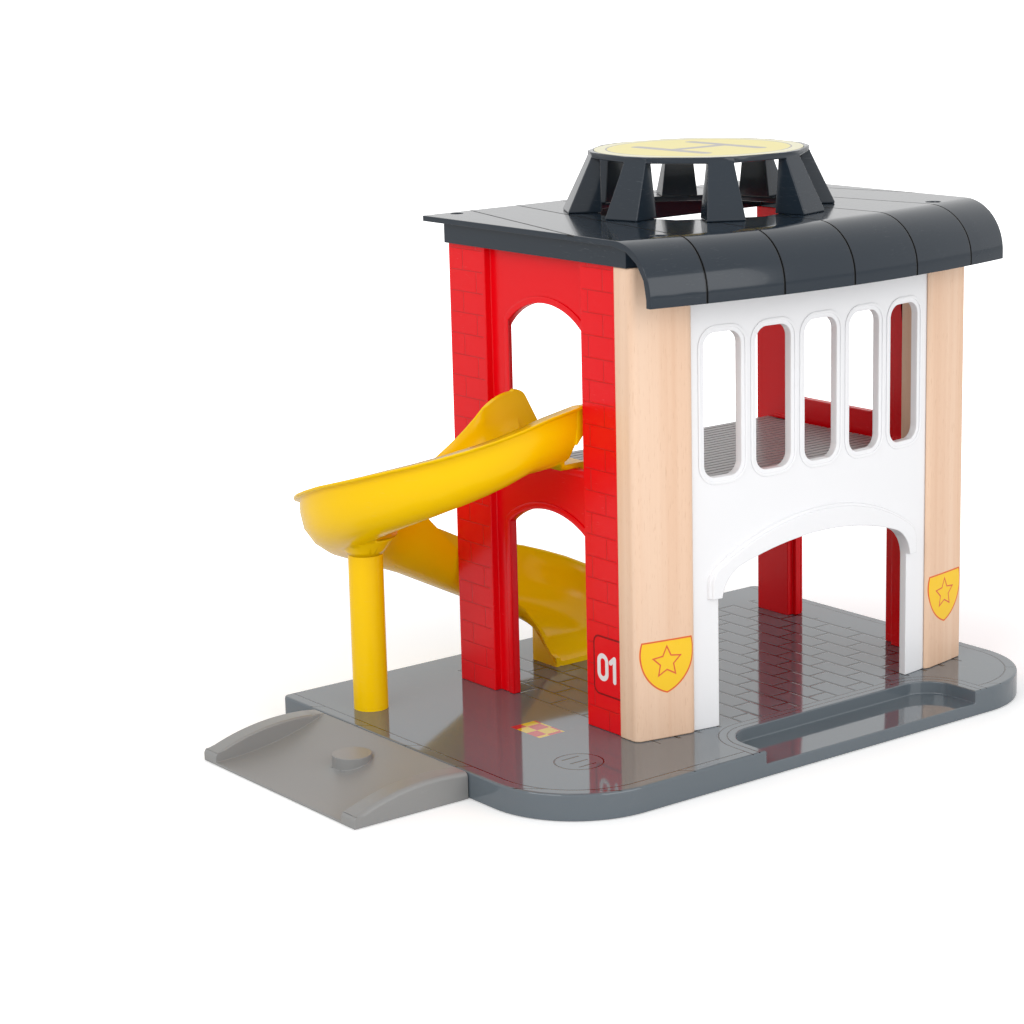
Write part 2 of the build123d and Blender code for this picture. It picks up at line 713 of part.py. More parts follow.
def slide_hook(first):
    """The bulkhead under the chute's start, its tongue across the sill and the hook behind the wall."""
    x, y = first[:2]
    y0, y1 = y - hook_width / 2, y + hook_width / 2
    panel_inner = panel_outer - panel_thickness
    hook_inner = panel_inner - lift_gap - hook_thickness
    top = left_upper_sill + slide_wall
    bulkhead = block(x - slide_wall, x, y0, y1, left_upper_sill, left_upper_sill + hook_rise)
    before = (x + overrun, *first[1:])
    after = (x - slide_wall - overrun, *first[1:])
    bulkhead -= channel([before, after])
    tongue = block(x, -hook_inner, y0, y1, left_upper_sill, top)
    hook = block(-panel_inner + lift_gap, -hook_inner, y0, y1, left_upper_sill - hook_drop, top)
    return bulkhead + tongue + hook


def slide_boss():
    """The flare that the chute's underside widens into over its post."""
    top = slide_boss_z + slide_boss_rise
    flare = Pos(slide_post_x, slide_post_y, (slide_boss_z + top) / 2) * Cone(
        slide_post_diameter / 2, slide_post_diameter / 2 + slide_boss_flare, slide_boss_rise)
    turn = slide_stations()[entry_steps + turn_steps // 2:entry_steps + turn_steps - 1]
    return flare - channel(turn)


def make_slide_chute():
    """The helical chute, with its start on the sill, a pin in its post's socket and a foot under its exit."""
    stations = slide_stations()
    chute = Part() + skinned([chute_section(station) for station in stations])
    chute += slide_boss()
    pin_bottom = slide_boss_z - slide_pin_height
    chute -= rod(slide_post_x, slide_post_y, pin_bottom, slide_boss_z, slide_post_diameter / 2 + fit_gap)
    chute += rod(slide_post_x, slide_post_y, pin_bottom, slide_boss_z, slide_pin_diameter / 2)
    chute += slide_hook(stations[0])
    chute += slide_tab(stations[0])
    return chute + slide_foot()


def make_slide_post():
    post = rod(slide_post_x, slide_post_y, 0, slide_boss_z, slide_post_diameter / 2)
    return post - rod(slide_post_x, slide_post_y, slide_boss_z - slide_pin_height - fit_gap,
                      slide_boss_z + overrun, slide_pin_diameter / 2 + fit_gap)


def group(solids):
    return Compound(children=[solid for piece in solids for solid in piece.solids()])


nodes = {
    "base_plate": make_base_plate(),
    "left_post": mirror(make_right_post(), Plane.YZ),
    "right_post": make_right_post(),
    "facade": make_facade(),
    "left_side_wall": make_left_side_wall(),
    "right_side_wall": make_right_side_wall(),
    "upper_floor": make_upper_floor(),
    "roof": make_roof(),
    "helipad_frame": make_helipad_frame(),
    "helipad_disc": make_helipad_disc(),
    "roof_screws": group([screw(spot, roof_screw_z, roof_screw_length, -1) for spot in roof_screw_spots]),
    "base_screws": group([screw(spot, -base_thickness, base_screw_length, 1) for spot in base_screw_spots]),
    "ramp": make_ramp(),
    "slide_chute": make_slide_chute(),
    "slide_post": make_slide_post(),
}

os.makedirs("parts", exist_ok=True)
for name, shape in nodes.items():
    export_step(site * shape, f"parts/{name}.step")
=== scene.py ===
import json
import math

import bpy
from mathutils import Matrix, Vector


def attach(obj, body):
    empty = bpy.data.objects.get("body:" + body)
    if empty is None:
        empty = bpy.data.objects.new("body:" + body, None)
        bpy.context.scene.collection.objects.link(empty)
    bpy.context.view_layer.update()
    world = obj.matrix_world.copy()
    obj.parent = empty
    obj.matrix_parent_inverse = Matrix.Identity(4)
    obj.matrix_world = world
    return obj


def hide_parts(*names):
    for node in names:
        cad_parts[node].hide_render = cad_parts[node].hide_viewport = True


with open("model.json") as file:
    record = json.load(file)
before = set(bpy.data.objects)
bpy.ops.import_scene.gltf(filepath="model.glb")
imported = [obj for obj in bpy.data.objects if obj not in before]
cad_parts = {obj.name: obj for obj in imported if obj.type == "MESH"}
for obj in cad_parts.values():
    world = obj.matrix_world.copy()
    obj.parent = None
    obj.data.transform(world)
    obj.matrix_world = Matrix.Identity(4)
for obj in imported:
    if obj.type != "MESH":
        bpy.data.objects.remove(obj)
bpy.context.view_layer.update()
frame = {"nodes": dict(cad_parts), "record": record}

# Toy fire station. Lengths are in metres; mm turns millimetres into metres.
mm = 0.001

# The building's own zero point: middle of the curved front, post corners, top of the base plate
site = Vector((25.5, -51.0, 10.0)) * mm

# The curve that the front and the roof's eave share, and the eave's round, in millimetres from that point
front_middle = 390.64
facade_radius = 398.25
eave_reach, eave_height, eave_radius = 396.5, 166.5, 18.9

# Degrees between two seams of the roof
seam_step = 4.65


# Colours and small node helpers

def srgb(r, g, b):
    """A colour read in 0 to 255 steps, as the linear value that nodes take."""
    def linear(v):
        v = v / 255
        return v / 12.92 if v <= 0.04045 else ((v + 0.055) / 1.055) ** 2.4
    return (linear(r), linear(g), linear(b), 1.0)


class Wiring:
    """Adds and joins nodes in one tree."""

    column_width, step_down, steps = 190, 40, 4

    def __init__(self, tree):
        self.tree = tree
        self.column = 0

    def add(self, kind, **settings):
        node = self.tree.nodes.new(kind)
        for name, value in settings.items():
            setattr(node, name, value)
        node.location = (self.column * self.column_width, -self.step_down * (self.column % self.steps))
        self.column += 1
        return node

    def feed(self, value, socket):
        if isinstance(value, bpy.types.NodeSocket):
            self.tree.links.new(value, socket)
        else:
            socket.default_value = value

    def math(self, operation, a, b=None, c=None, clamp=False):
        node = self.add("ShaderNodeMath", operation=operation, use_clamp=clamp)
        for value, socket in zip((a, b, c), node.inputs):
            if value is not None:
                self.feed(value, socket)
        return node.outputs[0]

    def minus(self, a, b):
        return self.math("SUBTRACT", a, b)

    def below(self, value, limit):
        return self.math("LESS_THAN", value, limit)

    def above(self, value, limit):
        return self.math("GREATER_THAN", value, limit)

    def both(self, *masks):
        """1 where every mask is 1."""
        result = masks[0]
        for mask in masks[1:]:
            result = self.math("MULTIPLY", result, mask)
        return result

    def either(self, *masks):
        """1 where any of the masks is 1."""
        result = masks[0]
        for mask in masks[1:]:
            result = self.math("MAXIMUM", result, mask)
        return result

    def mix(self, factor, a, b):
        node = self.add("ShaderNodeMix", data_type="RGBA")
        self.feed(factor, node.inputs[0])
        self.feed(a, node.inputs[6])
        self.feed(b, node.inputs[7])
        return node.outputs[2]

    def stretch(self, value, low, high, to_low=0.0, to_high=1.0, smooth=False):
        node = self.add("ShaderNodeMapRange", interpolation_type="SMOOTHSTEP" if smooth else "LINEAR")
        for number, each in enumerate((value, low, high, to_low, to_high)):
            self.feed(each, node.inputs[number])
        return node.outputs[0]

    def axes(self, vector):
        node = self.add("ShaderNodeSeparateXYZ")
        self.feed(vector, node.inputs[0])
        return node.outputs[0], node.outputs[1], node.outputs[2]

    def vector(self, x, y, z):
        node = self.add("ShaderNodeCombineXYZ")
        for value, socket in zip((x, y, z), node.inputs):
            self.feed(value, socket)
        return node.outputs[0]

    def mapped(self, vector, scale, turn=(0, 0, 0)):
        node = self.add("ShaderNodeMapping")
        self.feed(vector, node.inputs["Vector"])
        node.inputs["Rotation"].default_value = turn
        node.inputs["Scale"].default_value = scale
        return node.outputs[0]

    def noise(self, vector, scale, detail, roughness=0.5):
        node = self.add("ShaderNodeTexNoise")
        self.feed(vector, node.inputs["Vector"])
        self.feed(scale, node.inputs["Scale"])
        self.feed(detail, node.inputs["Detail"])
        self.feed(roughness, node.inputs["Roughness"])
        return node.outputs[0]

    def two(self, operation, a, b):
        """A vector node of two inputs."""
        node = self.add("ShaderNodeVectorMath", operation=operation)
        self.feed(a, node.inputs[0])
        self.feed(b, node.inputs[1])
        return node

    def apart(self, a, b):
        return self.two("SUBTRACT", a, b).outputs[0]

    def dot(self, a, b):
        return self.two("DOT_PRODUCT", a, b).outputs["Value"]

    def length(self, vector):
        node = self.add("ShaderNodeVectorMath", operation="LENGTH")
        self.feed(vector, node.inputs[0])
        return node.outputs["Value"]

    def line(self, distance, half):
        """1 on a line of this half width, where the distance is near zero, and 0 beside it."""
        soft = 0.1
        off = self.math("ABSOLUTE", distance)
        return self.stretch(off, half * (1 - soft), half * (1 + soft), 1.0, 0.0)

    def inside(self, value, low, high):
        """1 where the value lies between two limits, else 0."""
        return self.both(self.above(value, low), self.below(value, high))

    def bump(self, height, depth, strength=1.0, normal=None, invert=False):
        node = self.add("ShaderNodeBump", invert=invert)
        node.inputs["Strength"].default_value = strength
        node.inputs["Distance"].default_value = depth
        self.feed(height, node.inputs["Height"])
        if normal:
            self.feed(normal, node.inputs["Normal"])
        return node.outputs[0]

    def building(self, place):
        """A place on a CAD node as X, Y and Z in the building's own coordinates."""
        return self.axes(self.apart(place, tuple(site)))

    def group(self, tree, **values):
        node = self.add("ShaderNodeGroup", node_tree=tree)
        for name, value in values.items():
            self.feed(value, node.inputs[name.replace("_", " ")])
        return node


def effect(name, takes, gives):
    """An empty node group with named inputs and outputs."""
    tree = bpy.data.node_groups.new(name, "ShaderNodeTree")
    kinds = {"float": "NodeSocketFloat", "vector": "NodeSocketVector", "color": "NodeSocketColor"}
    for socket, kind, value in takes:
        made = tree.interface.new_socket(name=socket, in_out="INPUT", socket_type=kinds[kind])
        if value is not None:
            made.default_value = value
    for socket, kind in gives:
        tree.interface.new_socket(name=socket, in_out="OUTPUT", socket_type=kinds[kind])
    wires = Wiring(tree)
    start = wires.add("NodeGroupInput")
    end = wires.add("NodeGroupOutput")
    return tree, wires, start.outputs, end.inputs


# Effects shared by the finishes

def make_moulded_skin():
    """Injection-moulded plastic: slow waves in the gloss, a faint grain and a few rubbed marks."""
    tree, w, start, end = effect(
        "moulded skin",
        [("Vector", "vector", None), ("Wave size", "float", 45.0), ("Rub amount", "float", 0.5)],
        [("Height", "float"), ("Rub", "float"), ("Tone", "float")])
    grain_size, grain_share, patch_size, tone_size = 2600.0, 0.03, 28.0, 14.0
    stroke_sizes, stroke_turn = (260, 260, 1400), (0.5, 0.3, 0.7)
    stroke_limits, patch_limits = (0.58, 0.75), (0.45, 0.7)
    waves = w.noise(start["Vector"], start["Wave size"], 2.0)
    grain = w.noise(start["Vector"], grain_size, 1.0)
    w.feed(w.math("MULTIPLY_ADD", grain, grain_share, waves), end["Height"])
    strokes = w.noise(w.mapped(start["Vector"], stroke_sizes, stroke_turn), 1.0, 4.0, 0.65)
    patches = w.noise(start["Vector"], patch_size, 3.0)
    fine = w.stretch(strokes, *stroke_limits)
    where = w.stretch(patches, *patch_limits)
    rub = w.math("MULTIPLY", w.both(fine, where), start["Rub amount"], clamp=True)
    w.feed(rub, end["Rub"])
    w.feed(w.noise(start["Vector"], tone_size, 3.0), end["Tone"])
    return tree


def make_brick_joints():
    """Joint lines of a running bond in the first two axes of the vector: 1 in a joint, 0 on a brick."""
    tree, w, start, end = effect(
        "brick joints",
        [("Vector", "vector", None), ("Course", "float", 8 * mm), ("Length", "float", 16 * mm),
         ("Joint", "float", 0.7 * mm)],
        [("Joint line", "float")])
    x, y, _ = w.axes(start["Vector"])
    row = w.math("DIVIDE", y, start["Course"])
    odd = w.math("MODULO", w.math("ABSOLUTE", w.math("FLOOR", row)), 2.0)
    half_length = w.math("MULTIPLY", start["Length"], 0.5)
    shifted = w.math("MULTIPLY_ADD", odd, half_length, x)
    across = w.math("PINGPONG", shifted, half_length)
    along = w.math("PINGPONG", y, w.math("MULTIPLY", start["Course"], 0.5))
    nearest = w.math("MINIMUM", across, along)
    half = w.math("MULTIPLY", start["Joint"], 0.5)
    edge = w.math("MULTIPLY", start["Joint"], 0.9)
    w.feed(w.stretch(nearest, half, edge, 1.0, 0.0, smooth=True), end["Joint line"])
    return tree


def make_beech_grain():
    """Beech seen along the grain, which runs up Z: pale rings, short dark flecks and fine pores."""
    tree, w, start, end = effect(
        "beech grain",
        [("Vector", "vector", None), ("Pale", "color", None), ("Warm", "color", None), ("Fleck", "color", None)],
        [("Color", "color"), ("Height", "float"), ("Pores", "float")])
    flow_sizes, ring_sizes, broad_sizes, fleck_sizes = (60, 60, 5), (300, 300, 4), (70, 70, 2), (2300, 2300, 240)
    sway_x, sway_y = 6 * mm, 3 * mm
    pore_darkness, ring_height = 0.22, 0.35
    pore_limits, tone_limits = (0.63, 0.74), (0.36, 0.64)
    flow = w.noise(w.mapped(start["Vector"], flow_sizes), 1.0, 3.0)
    sway = w.vector(w.math("MULTIPLY", flow, sway_x), w.math("MULTIPLY", flow, sway_y), 0.0)
    bent = w.two("ADD", start["Vector"], sway).outputs[0]
    rings = w.noise(w.mapped(bent, ring_sizes), 1.0, 3.0, 0.6)
    broad = w.noise(w.mapped(bent, broad_sizes), 1.0, 2.0)
    flecks = w.noise(w.mapped(start["Vector"], fleck_sizes), 1.0, 1.0)
    pores = w.stretch(flecks, *pore_limits)
    tone = w.stretch(w.math("MULTIPLY_ADD", broad, 0.5, w.math("MULTIPLY", rings, 0.5)), *tone_limits)
    wood = w.mix(tone, start["Pale"], start["Warm"])
    w.feed(w.mix(w.math("MULTIPLY", pores, pore_darkness), wood, start["Fleck"]), end["Color"])
    w.feed(w.minus(w.math("MULTIPLY", rings, ring_height), pores), end["Height"])
    w.feed(pores, end["Pores"])
    return tree


def make_rounded_outline():
    """How far a point in the first two axes lies outside a rectangle with round corners."""
    tree, w, start, end = effect(
        "rounded outline",
        [("Vector", "vector", None), ("Centre", "vector", None), ("Half size", "vector", None),
         ("Corner", "float", 2 * mm)],
        [("Distance", "float")])
    x, y, _ = w.axes(w.apart(start["Vector"], start["Centre"]))
    wide, tall, _ = w.axes(start["Half size"])
    dx = w.math("ADD", w.minus(w.math("ABSOLUTE", x), wide), start["Corner"])
    dy = w.math("ADD", w.minus(w.math("ABSOLUTE", y), tall), start["Corner"])
    outside = w.length(w.vector(w.math("MAXIMUM", dx, 0.0), w.math("MAXIMUM", dy, 0.0), 0.0))
    inside = w.math("MINIMUM", w.math("MAXIMUM", dx, dy), 0.0)
    w.feed(w.minus(w.math("ADD", outside, inside), start["Corner"]), end["Distance"])
    return tree


def make_stroke():
    """How far a point in the first two axes lies from a straight stroke between two points."""
    tree, w, start, end = effect(
        "stroke",
        [("Vector", "vector", None), ("From", "vector", None), ("To", "vector", None)],
        [("Distance", "float")])
    reach = w.apart(start["Vector"], start["From"])
    line = w.apart(start["To"], start["From"])
    share = w.math("DIVIDE", w.dot(reach, line), w.dot(line, line), clamp=True)
    near = w.add("ShaderNodeVectorMath", operation="SCALE")
    w.feed(line, near.inputs[0])
    w.feed(share, near.inputs["Scale"])
    w.feed(w.length(w.apart(reach, near.outputs[0])), end["Distance"])
    return tree


def make_star_badge():
    """A plain shield with a flat top, a border line and the outline of a five-pointed star."""
    tree, w, start, end = effect(
        "star badge", [("Vector", "vector", None)], [("Fill", "float"), ("Line", "float")])
    flank_x, flank_z, flank_radius, top = 4.97 * mm, 5.2 * mm, 16.3 * mm, 10.2 * mm
    star_z, tip, notch, turn = 1.6 * mm, 6.0 * mm, 2.9 * mm, math.pi / 5
    border_in, border_half, star_half, soft = 0.35 * mm, 0.3 * mm, 0.28 * mm, 0.05 * mm
    x, z, _ = w.axes(start["Vector"])
    side = w.math("ABSOLUTE", x)
    bow = w.length(w.vector(w.math("ADD", side, flank_x), w.minus(z, flank_z), 0.0))
    shield = w.math("MAXIMUM", w.minus(bow, flank_radius), w.minus(z, top))
    high = w.minus(z, star_z)
    angle = w.math("ARCTAN2", side, high)
    reach = w.length(w.vector(x, high, 0.0))
    across, along = tip - notch * math.cos(turn), notch * math.sin(turn)
    size = math.hypot(across, along)
    folded = w.math("PINGPONG", angle, turn)
    edge = w.math("ADD", w.math("MULTIPLY", w.math("SINE", folded), across / size),
                  w.math("MULTIPLY", w.math("COSINE", folded), along / size))
    star = w.minus(w.math("MULTIPLY", reach, edge), tip * along / size)
    border = w.line(w.math("ADD", shield, border_in), border_half)
    w.feed(w.stretch(shield, -soft, soft, 1.0, 0.0), end["Fill"])
    w.feed(w.either(border, w.line(star, star_half)), end["Line"])
    return tree


moulded_skin = make_moulded_skin()
brick_joints = make_brick_joints()
beech_grain = make_beech_grain()
rounded_outline = make_rounded_outline()
stroke = make_stroke()
star_badge = make_star_badge()


def outline(w, place, centre, half_size, corner):
    """The distance outside a rectangle with round corners, whose sizes are in millimetres."""
    node = w.group(rounded_outline, Vector=place, Centre=(centre[0] * mm, centre[1] * mm, 0),
                   Half_size=(half_size[0] * mm, half_size[1] * mm, 0), Corner=corner * mm)
    return node.outputs[0]


def pen_stroke(w, place, begin, end):
    """The distance from a stroke between two points in millimetres."""
    node = w.group(stroke, Vector=place, From=(begin[0] * mm, begin[1] * mm, 0), To=(end[0] * mm, end[1] * mm, 0))
    return node.outputs[0]


def bricks_on(w, place, course, length, joint):
    """The joint lines of bricks or paving stones, whose sizes are in millimetres."""
    node = w.group(brick_joints, Vector=place, Course=course * mm, Length=length * mm, Joint=joint * mm)
    return node.outputs[0]


# Finishes

def start_finish(name):
    material = bpy.data.materials.new(name)
    material.use_nodes = True
    wires = Wiring(material.node_tree)
    shader = material.node_tree.nodes["Principled BSDF"]
    place = wires.add("ShaderNodeTexCoord").outputs["Object"]
    return material, wires, shader, place


def plastic_finish(name, colour, shade, roughness, rub=0.4, swell=0.2, specular=0.5, coat=0.0, marks=None):
    """Glossy moulded plastic. marks, when given, adds a piece's printing and grooves, and on the roof the painted
    shade in its seams.

    It takes the wiring, the place and the colour so far, and gives the colour with the printing and any painted
    shade on it and the mask of the grooves, or None where nothing is cut in.
    """
    wave_depth, groove_depth = 0.3 * mm, 0.25 * mm
    rub_paler, rub_duller, groove_duller = 0.1, 0.2, 0.15
    material, w, shader, place = start_finish(name)
    skin = w.group(moulded_skin, Vector=place, Rub_amount=rub)
    base = w.mix(w.math("MULTIPLY", skin.outputs["Tone"], 0.5), srgb(*colour), srgb(*shade))
    base = w.mix(w.math("MULTIPLY", skin.outputs["Rub"], rub_paler), base, (1, 1, 1, 1))
    rough = w.math("MULTIPLY_ADD", skin.outputs["Rub"], rub_duller, roughness)
    normal = w.bump(skin.outputs["Height"], wave_depth, swell)
    if marks:
        base, groove = marks(w, place, base)
        if groove:
            rough = w.math("MULTIPLY_ADD", groove, groove_duller, rough)
            normal = w.bump(groove, groove_depth, normal=normal, invert=True)
    w.feed(base, shader.inputs["Base Color"])
    w.feed(rough, shader.inputs["Roughness"])
    w.feed(normal, shader.inputs["Normal"])
    shader.inputs["Specular IOR Level"].default_value = specular
    shader.inputs["Coat Weight"].default_value = coat
    shader.inputs["Coat Roughness"].default_value = 0.03
    return material


def base_marks(w, place, base):
    """Paving, border lines round the edge and the socket, a round cover and a chequered patch."""
    course, stone, joint, top_skin = 10, 20, 0.85, 0.2 * mm
    # Centre, half size and corner of each outline, in millimetres
    paved_area = ((1.5, 57.5), (81.5, 63.5), 0.5)
    socket_area = ((-1, -35.5), (55, 22.5), 13)
    rim_area = ((-25.5, 101), (126.5, 139), 38)
    border_in, border_half, tick_step, tick_half = 4.8 * mm, 0.3 * mm, 16 * mm, 0.35 * mm
    socket_inner, socket_outer, socket_half = 3.2 * mm, 6.4 * mm, 0.25 * mm
    cover_x, cover_y, cover_radius, cover_half = -115 * mm, -2 * mm, 9 * mm, 0.3 * mm
    bar_step, bar_half, bar_reach, bar_side = 2.5 * mm, 0.4 * mm, 6.5 * mm, 4 * mm
    check, check_x, check_y = 6 * mm, 200 * mm, 191 * mm
    patch_x, patch_y = (-109 * mm, -97 * mm), (29 * mm, 47 * mm)
    x, y, z = w.building(place)
    flat = w.vector(x, y, 0.0)
    top = w.inside(z, -top_skin, top_skin)
    paved = outline(w, flat, *paved_area)
    socket = outline(w, flat, *socket_area)
    rim = outline(w, flat, *rim_area)
    joints = bricks_on(w, w.vector(y, x, 0.0), course, stone, joint)
    clear = w.above(socket, socket_outer)
    paving = w.both(joints, w.below(paved, 0.0), clear)
    border = w.line(w.math("ADD", rim, border_in), border_half)
    ticks = w.both(w.line(w.math("PINGPONG", w.math("ADD", x, y), tick_step), tick_half),
                   w.inside(rim, -border_in, 0.0))
    cover = w.length(w.apart(flat, (cover_x, cover_y, 0)))
    bars = w.both(w.line(w.math("PINGPONG", w.minus(y, cover_y), bar_step), bar_half),
                  w.below(cover, bar_reach), w.inside(w.minus(x, cover_x), -bar_side, bar_side))
    lines = w.either(w.line(w.minus(socket, socket_inner), socket_half),
                     w.line(w.minus(socket, socket_outer), socket_half),
                     w.both(border, clear), w.both(ticks, clear),
                     w.line(w.minus(cover, cover_radius), cover_half), bars)
    patch = w.both(w.inside(x, *patch_x), w.inside(y, *patch_y), top)
    columns = w.math("FLOOR", w.math("DIVIDE", w.math("ADD", x, check_x), check))
    rows = w.math("FLOOR", w.math("DIVIDE", w.math("ADD", y, check_y), check))
    odd = w.math("PINGPONG", w.math("ADD", columns, rows), 1.0)
    base = w.mix(patch, base, w.mix(odd, srgb(196, 60, 60), srgb(220, 196, 20)))
    groove = w.both(w.either(paving, lines), top)
    return w.mix(groove, base, srgb(30, 32, 35)), groove


def wall_marks(w, place, base):
    """Brick courses on the outer faces of the pilasters and a number in a frame on the front left one."""
    course, brick, joint, groove_share = 8.3, 17.0, 0.36, 0.3
    outer_face, plate_edge, ring_half, pen_half = 84.8 * mm, 0.4 * mm, 0.35 * mm, 0.95 * mm
    front_band, back_band, left_back_band = (11.5 * mm, 28.5 * mm), (93.5 * mm, 109.5 * mm), (89.5 * mm, 109.5 * mm)
    plate, zero_shape = ((15, 25.2), (10.5, 11.2), 3), ((20.4, 24.6), (2.3, 4.4), 2.3)
    one_foot, one_top, flag_tip = (13.6, 20.2), (13.6, 29.0), (15.9, 27.2)
    x, y, z = w.building(place)
    flat = w.vector(y, z, 0.0)
    outer = w.above(w.math("ABSOLUTE", x), outer_face)
    on_left = w.below(x, 0.0)
    bands = w.either(w.inside(y, *front_band), w.inside(y, *back_band),
                     w.both(w.inside(y, *left_back_band), on_left))
    left = w.both(outer, on_left)
    frame_line = outline(w, flat, *plate)
    on_plate = w.both(w.below(frame_line, plate_edge), left)
    bricks = w.both(bricks_on(w, flat, course, brick, joint), bands, outer, w.minus(1.0, on_plate))
    ring = w.both(w.line(frame_line, ring_half), left)
    zero = outline(w, flat, *zero_shape)
    one = w.math("MINIMUM", pen_stroke(w, flat, one_foot, one_top), pen_stroke(w, flat, one_top, flag_tip))
    digits = w.either(w.line(zero, pen_half), w.line(one, pen_half))
    base = w.mix(bricks, base, srgb(212, 3, 14))
    base = w.mix(ring, base, srgb(150, 4, 12))
    base = w.mix(w.both(digits, left), base, srgb(244, 240, 242))
    return base, w.either(w.math("MULTIPLY", bricks, groove_share), ring)


def roof_seams_painted_shade(w, place, base):
    """Seams that run over the eave and back across the roof, all towards the middle of the front's curve, coloured
    near black as painted shade inside their grooves.
    """
    seam_half, roof_top = 0.5 * mm, 186.2 * mm
    x, y, z = w.building(place)
    back = w.minus(front_middle * mm, y)
    reach = w.length(w.vector(x, back, 0.0))
    turn = w.math("PINGPONG", w.math("ARCTAN2", x, back), math.radians(seam_step / 2))
    seam = w.line(w.math("MULTIPLY", turn, reach), seam_half)
    over = w.vector(w.math("MAXIMUM", w.minus(reach, eave_reach * mm), 0.0),
                    w.math("MAXIMUM", w.minus(z, eave_height * mm), 0.0), 0.0)
    outside = w.both(w.above(w.length(over), eave_radius * mm), w.below(z, roof_top))
    groove = w.both(seam, outside)
    # Near black in the seams is painted shade where the grooves lie, on top of their cut and bump.
    return w.mix(groove, base, srgb(8, 11, 15)), groove


def disc_marks(w, place, base):
    """A landing disc: a pale margin, a thin ring and a plain grey H, all printed flat."""
    middle, upper_face = 61 * mm, 208.8 * mm
    margin, ring_half = 35.9 * mm, 0.35 * mm
    side, end, pen_half = 14, 20, 2.6 * mm
    x, y, z = w.building(place)
    flat = w.vector(x, w.minus(y, middle), 0.0)
    reach = w.length(flat)
    base = w.mix(w.above(reach, margin), base, srgb(246, 240, 196))
    left = pen_stroke(w, flat, (-side, -end), (-side, end))
    right = pen_stroke(w, flat, (side, -end), (side, end))
    across = pen_stroke(w, flat, (-side, 0), (side, 0))
    near = w.math("MINIMUM", w.math("MINIMUM", left, right), across)
    ink = w.either(w.line(near, pen_half), w.line(w.minus(reach, margin), ring_half))
    ink = w.both(ink, w.above(z, upper_face))
    return w.mix(ink, base, srgb(168, 162, 158)), None


def wood_finish(name):
    """Beech under a thin lacquer, with a printed badge low on the front of each post."""
    badge_x, badge_z, front_face = 73.2 * mm, 27.8 * mm, 1.0 * mm
    grain_depth, grain_strength, pore_duller, lacquer = 0.1 * mm, 0.3, 0.2, 0.42
    material, w, shader, place = start_finish(name)
    grain = w.group(beech_grain, Vector=place, Pale=srgb(243, 209, 181), Warm=srgb(233, 192, 160),
                    Fleck=srgb(196, 146, 104))
    x, y, z = w.building(place)
    badge_place = w.vector(w.minus(w.math("ABSOLUTE", x), badge_x), w.minus(z, badge_z), 0.0)
    badge = w.group(star_badge, Vector=badge_place)
    front = w.below(y, front_face)
    colour = w.mix(w.both(badge.outputs["Fill"], front), grain.outputs["Color"], srgb(254, 205, 0))
    colour = w.mix(w.both(badge.outputs["Line"], front), colour, srgb(226, 92, 40))
    w.feed(colour, shader.inputs["Base Color"])
    w.feed(w.math("MULTIPLY_ADD", grain.outputs["Pores"], pore_duller, lacquer), shader.inputs["Roughness"])
    w.feed(w.bump(grain.outputs["Height"], grain_depth, grain_strength), shader.inputs["Normal"])
    shader.inputs["Coat Weight"].default_value = 0.2
    shader.inputs["Coat Roughness"].default_value = 0.22
    return material


def steel_finish(name):
    """Zinc-plated steel, with a near black cross painted on each screw's head as the shade of a cross-shaped hole
    that is not modelled.
    """
    roof_x, roof_y, base_x, base_y, between = 70 * mm, 3.0 * mm, 73 * mm, 4.8 * mm, 100 * mm
    arm_half, arm_reach = 0.4 * mm, 1.7 * mm
    brush_sizes, brush_duller, polish = (2500, 400, 2500), 0.2, 0.25
    material, w, shader, place = start_finish(name)
    brushed = w.noise(w.mapped(place, brush_sizes), 1.0, 3.0)
    x, y, z = w.building(place)
    side = w.math("ABSOLUTE", x)
    high = w.above(z, between)
    u = w.stretch(high, 0.0, 1.0, w.minus(side, base_x), w.minus(side, roof_x))
    v = w.minus(y, w.stretch(high, 0.0, 1.0, base_y, roof_y))
    arms = w.math("MINIMUM", w.math("ABSOLUTE", u), w.math("ABSOLUTE", v))
    recess_shade = w.both(w.below(arms, arm_half), w.below(w.length(w.vector(u, v, 0.0)), arm_reach))
    colour = w.mix(brushed, srgb(150, 152, 155), srgb(205, 206, 208))
    # The cross is painted shade: a dark mark on the flat head where a hole would hold shadow.
    w.feed(w.mix(recess_shade, colour, srgb(30, 30, 32)), shader.inputs["Base Color"])
    w.feed(w.math("MULTIPLY_ADD", brushed, brush_duller, polish), shader.inputs["Roughness"])
    shader.inputs["Metallic"].default_value = 1.0
    return material


# Each plastic's colour, its second shade, its roughness and what sets it apart
plastics = {
    "base_grey": ((98, 107, 114), (92, 101, 108), 0.07,
                  {"rub": 0.2, "swell": 0.01, "coat": 0.2, "marks": base_marks}),
    "ramp_grey": ((143, 143, 142), (136, 136, 135), 0.36, {"swell": 0.05}),
    "white_plastic": ((247, 247, 249), (240, 241, 244), 0.22, {"rub": 0.2}),
    "red_plastic": ((240, 3, 20), (230, 2, 15), 0.25, {"rub": 0.3, "specular": 0.25, "marks": wall_marks}),
    "floor_grey": ((172, 172, 174), (160, 160, 162), 0.3, {}),
    "roof_grey": ((35, 45, 55), (31, 41, 51), 0.14,
                  {"swell": 0.06, "specular": 0.32, "coat": 0.2, "marks": roof_seams_painted_shade}),
    "helipad_yellow": ((251, 236, 128), (248, 230, 116), 0.28, {"marks": disc_marks}),
    "slide_yellow": ((255, 208, 0), (255, 200, 0), 0.2, {"rub": 0.3, "swell": 0.05, "specular": 0.18}),
}
finishes = {name: plastic_finish(name, colour, shade, roughness, **more)
            for name, (colour, shade, roughness, more) in plastics.items()}
finishes["beech"] = wood_finish("beech")
finishes["screw_steel"] = steel_finish("screw_steel")
slot_of = {part["node"]: part["material_slot"] for part in frame["record"]["subparts"]}
for name, thing in frame["nodes"].items():
    for slot in thing.material_slots:
        slot.material = finishes[slot_of[name]]


# Pieces

